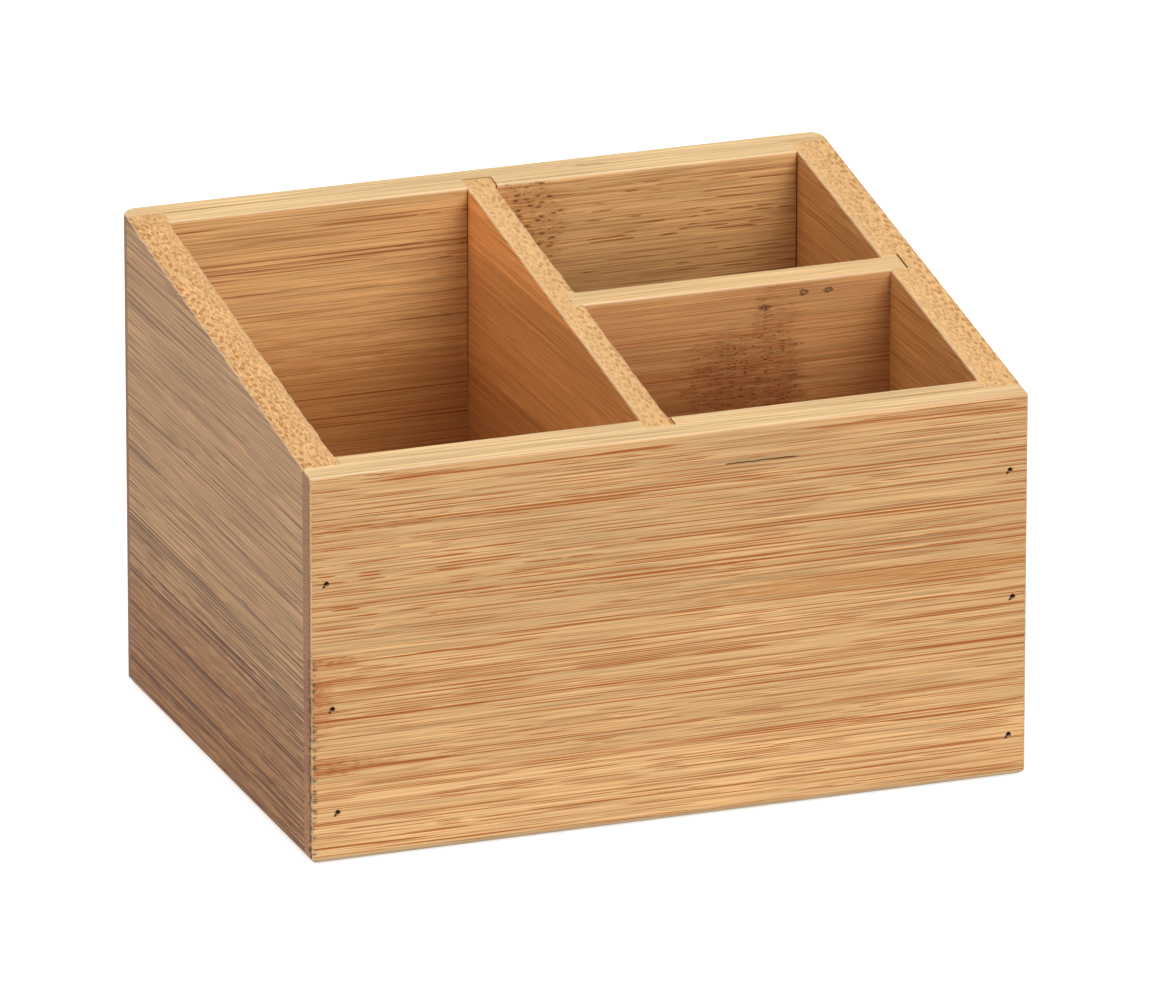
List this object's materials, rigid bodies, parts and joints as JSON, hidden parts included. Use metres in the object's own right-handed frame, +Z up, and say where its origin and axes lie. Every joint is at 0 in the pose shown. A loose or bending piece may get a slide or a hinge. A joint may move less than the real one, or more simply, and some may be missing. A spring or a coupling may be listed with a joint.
{
  "type": "desk organiser box",
  "caption": "Open-topped bamboo desk organiser with a low front, a sloped rim and dividers, for pens and small stationery.",
  "frame": {"origin": "middle of the footprint, on the plane that the four walls rest on", "axes": "+X along the width towards the side with two compartments, +Y from the low front to the high back, +Z up"},
  "size_m": [0.15, 0.115, 0.0999],
  "materials": {
    "bamboo_walls": "sanded bamboo board with a thin satin oil, fine streaks along the board and dotted end grain",
    "bamboo_dividers": "sanded bamboo board, as the walls, slightly warmer",
    "bamboo_floor": "sanded thin bamboo board",
    "brad_steel": "plain drawn wire"
  },
  "bodies": {
    "root": {"front_panel": "bamboo_walls", "back_panel": "bamboo_walls", "left_side_panel": "bamboo_walls", "right_side_panel": "bamboo_walls", "long_divider": "bamboo_dividers", "cross_divider": "bamboo_dividers", "bottom_panel": "bamboo_floor", "front_left_brads": "brad_steel", "front_right_brads": "brad_steel", "back_left_brads": "brad_steel", "back_right_brads": "brad_steel"}
  },
  "joints": []
}
